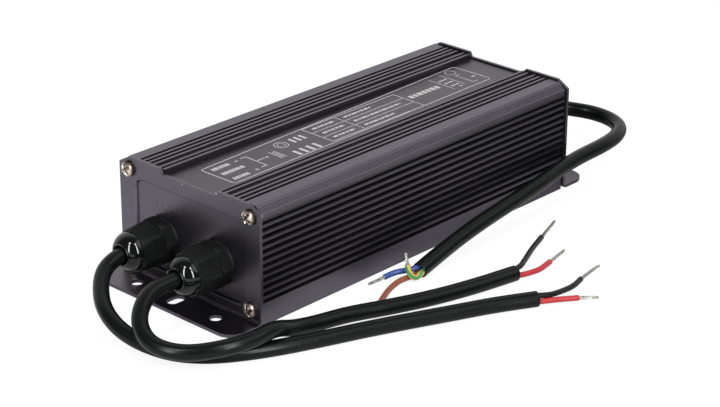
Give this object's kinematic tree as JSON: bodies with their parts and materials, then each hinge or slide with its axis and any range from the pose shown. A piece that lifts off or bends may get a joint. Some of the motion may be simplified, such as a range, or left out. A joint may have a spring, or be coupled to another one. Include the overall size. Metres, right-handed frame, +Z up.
{
  "type": "waterproof power supply",
  "caption": "Sealed power supply in a finned aluminium tube with folded mounting end plates, cable glands and free output and mains cables with bare wire ends.",
  "frame": {"origin": "middle of the underside, on the surface that the unit stands on", "axes": "+X along the length from the output end to the mains end, +Z up, -Y the side that the picture shows"},
  "size_m": [0.2496, 0.1357, 0.043],
  "materials": {
    "anodised_aluminium": "dark violet-grey satin anodised extrusion",
    "plate_aluminium": "dark grey satin anodised sheet",
    "gasket_rubber": "thin black sealing sheet",
    "screw_steel": "nickel plated steel",
    "gland_nylon": "black glass-filled nylon with a soft gloss",
    "seal_rubber": "matt black rubber",
    "cable_jacket": "black soft jacket with a slight sheen",
    "black_insulation": "black wire insulation",
    "red_insulation": "red wire insulation",
    "blue_insulation": "blue wire insulation",
    "brown_insulation": "brown wire insulation",
    "striped_insulation": "yellow wire insulation with a green stripe",
    "tinned_copper": "tinned copper strands",
    "board_laminate": "green glass-fibre laminate with solder resist",
    "potting": "dark grey potting compound",
    "fuse_body": "brown moulded case, tinned leads",
    "blue_coating": "blue dipped coating, tinned leads",
    "yellow_case": "yellow moulded case, tinned leads",
    "ferrite_green": "green coated ferrite",
    "ferrite": "dark grey ferrite",
    "copper_wire": "enamelled copper wire",
    "moulded_black": "black moulded case, tinned leads",
    "capacitor_sleeve": "dark blue sleeve, bare can top",
    "spreader_aluminium": "plain aluminium",
    "pad_silicone": "grey-blue silicone pad",
    "bobbin_plastic": "pale moulded plastic",
    "winding_tape": "yellow insulating tape over the winding"
  },
  "bodies": {
    "root": {"housing": "anodised_aluminium", "front_end_plate": "plate_aluminium", "rear_end_plate": "plate_aluminium", "front_gasket": "gasket_rubber", "rear_gasket": "gasket_rubber", "front_screws": "screw_steel", "rear_screws": "screw_steel", "left_gland_body": "gland_nylon", "right_gland_body": "gland_nylon", "mains_gland_body": "gland_nylon", "left_gland_bush": "seal_rubber", "right_gland_bush": "seal_rubber", "mains_gland_bush": "seal_rubber", "left_gland_cap": "gland_nylon", "right_gland_cap": "gland_nylon", "mains_gland_cap": "gland_nylon", "gland_washers": "seal_rubber", "gland_locknuts": "gland_nylon", "left_output_cable": "cable_jacket", "right_output_cable": "cable_jacket", "mains_cable": "cable_jacket", "left_black_wire": "black_insulation", "left_red_wire": "red_insulation", "right_black_wire": "black_insulation", "right_red_wire": "red_insulation", "mains_blue_wire": "blue_insulation", "mains_brown_wire": "brown_insulation", "mains_earth_wire": "striped_insulation", "left_tinned_ends": "tinned_copper", "right_tinned_ends": "tinned_copper", "mains_tinned_ends": "tinned_copper", "circuit_board": "board_laminate", "potting_bed": "potting", "fuse": "fuse_body", "varistor": "blue_coating", "x_capacitor": "yellow_case", "line_choke_core": "ferrite_green", "line_choke_windings": "copper_wire", "bridge_rectifier": "moulded_black", "bulk_capacitor": "capacitor_sleeve", "y_capacitor": "blue_coating", "switching_transistor": "moulded_black", "output_rectifier": "moulded_black", "heat_spreaders": "spreader_aluminium", "insulating_pads": "pad_silicone", "spreader_screws": "screw_steel", "transformer_core": "ferrite", "transformer_bobbin": "bobbin_plastic", "transformer_winding": "winding_tape", "control_chip": "moulded_black", "optocoupler": "moulded_black", "output_capacitors": "capacitor_sleeve", "output_choke_core": "ferrite", "output_choke_winding": "copper_wire", "output_tails": "red_insulation", "mains_tails": "brown_insulation"}
  },
  "joints": []
}
